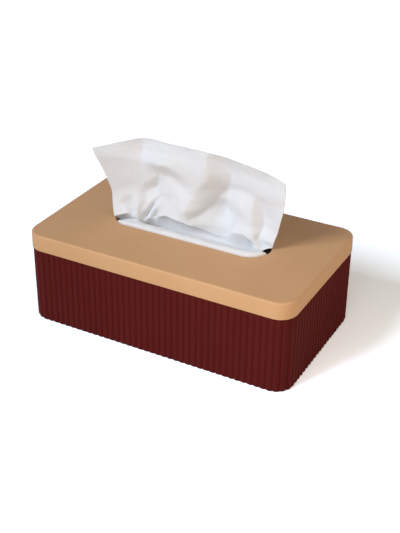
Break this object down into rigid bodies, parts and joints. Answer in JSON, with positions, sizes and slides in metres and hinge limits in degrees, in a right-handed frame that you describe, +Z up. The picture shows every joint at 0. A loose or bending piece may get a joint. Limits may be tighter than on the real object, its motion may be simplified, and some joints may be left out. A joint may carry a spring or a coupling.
{
  "type": "tissue box",
  "caption": "Rectangular tissue box with an upright fluted case and a smooth lift-off lid, and a tissue standing up through the lid's long slot.",
  "frame": {"origin": "on the surface that the box stands on, under the middle of the box", "axes": "+X along the box's length, -Y out of its front long side, +Z up out of the lid"},
  "size_m": [0.24, 0.138, 0.1555],
  "materials": {
    "case_plastic": "satin",
    "lid_plastic": "satin",
    "pad_rubber": "matte",
    "tissue_paper": "matte"
  },
  "bodies": {
    "box": {"fluted_case": "case_plastic", "foot_pad_front_left": "pad_rubber", "foot_pad_front_right": "pad_rubber", "foot_pad_back_left": "pad_rubber", "foot_pad_back_right": "pad_rubber", "tissue_stack": "tissue_paper"},
    "lid": {"lid": "lid_plastic"},
    "tissue": {"popup_tissue": "tissue_paper"}
  },
  "joints": [
    {"name": "lid_lift", "type": "slide", "parent": "box", "child": "lid", "axis": [0, 0, 1], "range_m": [0, 0.09]},
    {"name": "tissue_draw", "type": "slide", "parent": "lid", "child": "tissue", "axis": [0, 0, 1], "range_m": [0, 0.1]}
  ]
}
